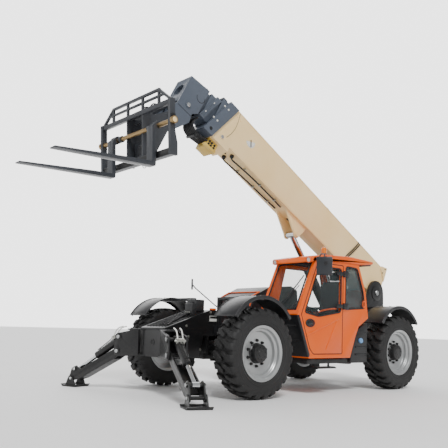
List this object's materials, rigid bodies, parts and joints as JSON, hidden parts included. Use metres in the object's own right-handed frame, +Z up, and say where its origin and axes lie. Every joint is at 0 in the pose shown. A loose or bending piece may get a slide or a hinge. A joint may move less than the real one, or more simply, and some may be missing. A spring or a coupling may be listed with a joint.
{
  "type": "telehandler",
  "caption": "Telescopic handler with a side cab, four steered wheels, a raised telescoping boom with a fork carriage, and two front outriggers on the ground.",
  "frame": {"origin": "middle of the bounding box on the ground", "axes": "+X to the front, where the forks point; +Y to the left, the cab's side; +Z up"},
  "size_m": [7.3782, 3.2408, 4.6332],
  "materials": {
    "beacon_plastic": "clear amber",
    "black_paint": "satin enamel",
    "cast_weight": "painted cast iron",
    "chromed_rod": "hard chrome",
    "cream_paint": "gloss enamel",
    "engine_casting": "painted cast iron",
    "orange_paint": "gloss enamel",
    "rim_paint": "silver enamel",
    "shaft_steel": "worn bright steel",
    "slate_paint": "satin enamel",
    "tyre_rubber": "matt, moulded",
    "vinyl": "grained",
    "window_glass": "clear"
  },
  "bodies": {
    "machine": {"main_frame": "black_paint", "counterweight": "cast_weight", "front_axle": "black_paint", "rear_axle": "black_paint", "engine_housing": "black_paint", "engine_block": "engine_casting", "fuel_tank": "black_paint", "cab_body": "orange_paint", "cab_roof": "orange_paint", "windscreen": "window_glass", "rear_window": "window_glass", "quarter_window": "window_glass", "right_window": "window_glass", "driver_seat": "vinyl", "dashboard": "vinyl", "cab_mirror": "black_paint", "front_mirror": "black_paint", "beacon": "beacon_plastic", "front_left_fender": "black_paint", "front_right_fender": "black_paint", "rear_left_fender": "black_paint", "rear_right_fender": "black_paint"},
    "door": {"cab_door": "orange_paint", "door_window": "window_glass"},
    "hood": {"engine_hood": "black_paint"},
    "front_left_steer": {"front_left_knuckle": "black_paint"},
    "front_left_wheel": {"front_left_rim": "rim_paint", "front_left_tyre": "tyre_rubber"},
    "front_right_steer": {"front_right_knuckle": "black_paint"},
    "front_right_wheel": {"front_right_rim": "rim_paint", "front_right_tyre": "tyre_rubber"},
    "rear_left_steer": {"rear_left_knuckle": "black_paint"},
    "rear_left_wheel": {"rear_left_rim": "rim_paint", "rear_left_tyre": "tyre_rubber"},
    "rear_right_steer": {"rear_right_knuckle": "black_paint"},
    "rear_right_wheel": {"rear_right_rim": "rim_paint", "rear_right_tyre": "tyre_rubber"},
    "boom": {"boom_base": "cream_paint"},
    "boom_middle_section": {"boom_middle": "slate_paint"},
    "boom_inner_section": {"boom_inner_middle": "slate_paint"},
    "boom_tip_section": {"boom_tip": "slate_paint", "boom_head": "slate_paint"},
    "lift_barrel": {"lift_cylinder_barrel": "black_paint"},
    "lift_rod": {"lift_cylinder_rod": "chromed_rod"},
    "tilt_barrel": {"tilt_cylinder_barrel": "black_paint"},
    "tilt_rod": {"tilt_cylinder_rod": "chromed_rod"},
    "carriage": {"coupler": "slate_paint", "fork_carriage": "slate_paint", "fork_shaft": "shaft_steel", "left_fork": "slate_paint", "right_fork": "slate_paint"},
    "left_arm": {"left_outrigger_arm": "black_paint"},
    "left_foot": {"left_outrigger_foot": "black_paint"},
    "left_outrigger_cylinder": {"left_outrigger_barrel": "black_paint"},
    "left_outrigger_piston": {"left_outrigger_rod": "chromed_rod"},
    "right_arm": {"right_outrigger_arm": "black_paint"},
    "right_foot": {"right_outrigger_foot": "black_paint"},
    "right_outrigger_cylinder": {"right_outrigger_barrel": "black_paint"},
    "right_outrigger_piston": {"right_outrigger_rod": "chromed_rod"}
  },
  "joints": [
    {"name": "boom_lift", "type": "hinge", "parent": "machine", "child": "boom", "pos_m": [-3.23693, 0, 1.7], "axis": [0, -1, 0], "range_deg": [-30.9, 38]},
    {"name": "boom_extend", "type": "slide", "parent": "boom", "child": "boom_middle_section", "axis": [0.8796, 0, 0.4756], "range_m": [0, 3]},
    {"name": "inner_extend", "type": "slide", "parent": "boom_middle_section", "child": "boom_inner_section", "axis": [0.8796, 0, 0.4756], "range_m": [0, 3]},
    {"name": "tip_extend", "type": "slide", "parent": "boom_inner_section", "child": "boom_tip_section", "axis": [0.8796, 0, 0.4756], "range_m": [0, 3]},
    {"name": "lift_barrel_swing", "type": "hinge", "parent": "machine", "child": "lift_barrel", "pos_m": [-2.42693, 0, 0.86], "axis": [0, -1, 0], "range_deg": [-27.9, 34.3]},
    {"name": "lift_rod_slide", "type": "slide", "parent": "lift_barrel", "child": "lift_rod", "axis": [0.618, 0, 0.7862], "range_m": [-0.605, 0.745]},
    {"name": "carriage_tilt", "type": "hinge", "parent": "boom_tip_section", "child": "carriage", "pos_m": [1.7474, 0, 3.94029], "axis": [0, 1, 0], "range_deg": [-31, 40]},
    {"name": "tilt_barrel_swing", "type": "hinge", "parent": "boom_tip_section", "child": "tilt_barrel", "pos_m": [0.90736, 0, 4.25344], "axis": [0, -1, 0], "range_deg": [-1.1, 1.4]},
    {"name": "tilt_rod_slide", "type": "slide", "parent": "tilt_barrel", "child": "tilt_rod", "axis": [0.9905, 0, -0.1375], "range_m": [-0.097, 0.125]},
    {"name": "front_left_steering", "type": "hinge", "parent": "machine", "child": "front_left_steer", "pos_m": [0.82307, 0.82, 0.625], "axis": [0, 0, 1], "range_deg": [-30, 30]},
    {"name": "front_left_roll", "type": "hinge", "parent": "front_left_steer", "child": "front_left_wheel", "pos_m": [0.82307, 1.045, 0.625], "axis": [0, 1, 0], "continuous": true},
    {"name": "front_right_steering", "type": "hinge", "parent": "machine", "child": "front_right_steer", "pos_m": [0.82307, -0.82, 0.625], "axis": [0, 0, 1], "range_deg": [-30, 30]},
    {"name": "front_right_roll", "type": "hinge", "parent": "front_right_steer", "child": "front_right_wheel", "pos_m": [0.82307, -1.045, 0.625], "axis": [0, 1, 0], "continuous": true},
    {"name": "rear_left_steering", "type": "hinge", "parent": "machine", "child": "rear_left_steer", "pos_m": [-2.51693, 0.82, 0.625], "axis": [0, 0, 1], "range_deg": [-30, 30]},
    {"name": "rear_left_roll", "type": "hinge", "parent": "rear_left_steer", "child": "rear_left_wheel", "pos_m": [-2.51693, 1.045, 0.625], "axis": [0, 1, 0], "continuous": true},
    {"name": "rear_right_steering", "type": "hinge", "parent": "machine", "child": "rear_right_steer", "pos_m": [-2.51693, -0.82, 0.625], "axis": [0, 0, 1], "range_deg": [-30, 30]},
    {"name": "rear_right_roll", "type": "hinge", "parent": "rear_right_steer", "child": "rear_right_wheel", "pos_m": [-2.51693, -1.045, 0.625], "axis": [0, 1, 0], "continuous": true},
    {"name": "cab_door_hinge", "type": "hinge", "parent": "machine", "child": "door", "pos_m": [-1.00693, 1.172, 1.345], "axis": [0, 0, 1], "range_deg": [0, 80]},
    {"name": "engine_hood_hinge", "type": "hinge", "parent": "machine", "child": "hood", "pos_m": [-1.64693, -0.74, 1.318], "axis": [0, -1, 0], "range_deg": [0, 60]},
    {"name": "left_outrigger", "type": "hinge", "parent": "machine", "child": "left_arm", "pos_m": [1.86707, 0.653, 0.578], "axis": [0.9336, -0.3584, 0], "range_deg": [-10, 100]},
    {"name": "left_foot_swing", "type": "hinge", "parent": "left_arm", "child": "left_foot", "pos_m": [2.17273, 1.44928, 0.12449], "axis": [0.9336, -0.3584, 0], "range_deg": [-25, 60]},
    {"name": "left_outrigger_barrel_swing", "type": "hinge", "parent": "machine", "child": "left_outrigger_cylinder", "pos_m": [1.85918, 0.63246, 0.785], "axis": [0.9336, -0.3584, 0], "range_deg": [-10.2, 101.2]},
    {"name": "left_outrigger_rod_slide", "type": "slide", "parent": "left_outrigger_cylinder", "child": "left_outrigger_piston", "axis": [0.3027, 0.7885, -0.5354], "range_m": [-0.319, 0.032]},
    {"name": "right_outrigger", "type": "hinge", "parent": "machine", "child": "right_arm", "pos_m": [1.86707, -0.653, 0.578], "axis": [-0.9336, -0.3584, 0], "range_deg": [-10, 100]},
    {"name": "right_foot_swing", "type": "hinge", "parent": "right_arm", "child": "right_foot", "pos_m": [2.17273, -1.44928, 0.12449], "axis": [-0.9336, -0.3584, 0], "range_deg": [-25, 60]},
    {"name": "right_outrigger_barrel_swing", "type": "hinge", "parent": "machine", "child": "right_outrigger_cylinder", "pos_m": [1.85918, -0.63246, 0.785], "axis": [-0.9336, -0.3584, 0], "range_deg": [-10.2, 101.2]},
    {"name": "right_outrigger_rod_slide", "type": "slide", "parent": "right_outrigger_cylinder", "child": "right_outrigger_piston", "axis": [0.3027, -0.7885, -0.5354], "range_m": [-0.319, 0.032]}
  ],
  "couplings": [
    {"joint": "inner_extend", "follows": "boom_extend", "ratio": 1},
    {"joint": "tip_extend", "follows": "boom_extend", "ratio": 1},
    {"joint": "lift_barrel_swing", "follows": "boom_lift", "ratio": 0.9},
    {"joint": "lift_rod_slide", "follows": "boom_lift", "m_per_rad": 1.12},
    {"joint": "tilt_barrel_swing", "follows": "carriage_tilt", "ratio": 0.0313},
    {"joint": "tilt_rod_slide", "follows": "carriage_tilt", "m_per_rad": 0.1756},
    {"joint": "front_right_steering", "follows": "front_left_steering", "ratio": 1},
    {"joint": "rear_right_steering", "follows": "rear_left_steering", "ratio": 1},
    {"joint": "left_outrigger_barrel_swing", "follows": "left_outrigger", "ratio": 1.0108},
    {"joint": "left_outrigger_rod_slide", "follows": "left_outrigger", "m_per_rad": -0.1822},
    {"joint": "right_outrigger_barrel_swing", "follows": "right_outrigger", "ratio": 1.0108},
    {"joint": "right_outrigger_rod_slide", "follows": "right_outrigger", "m_per_rad": -0.1822}
  ]
}
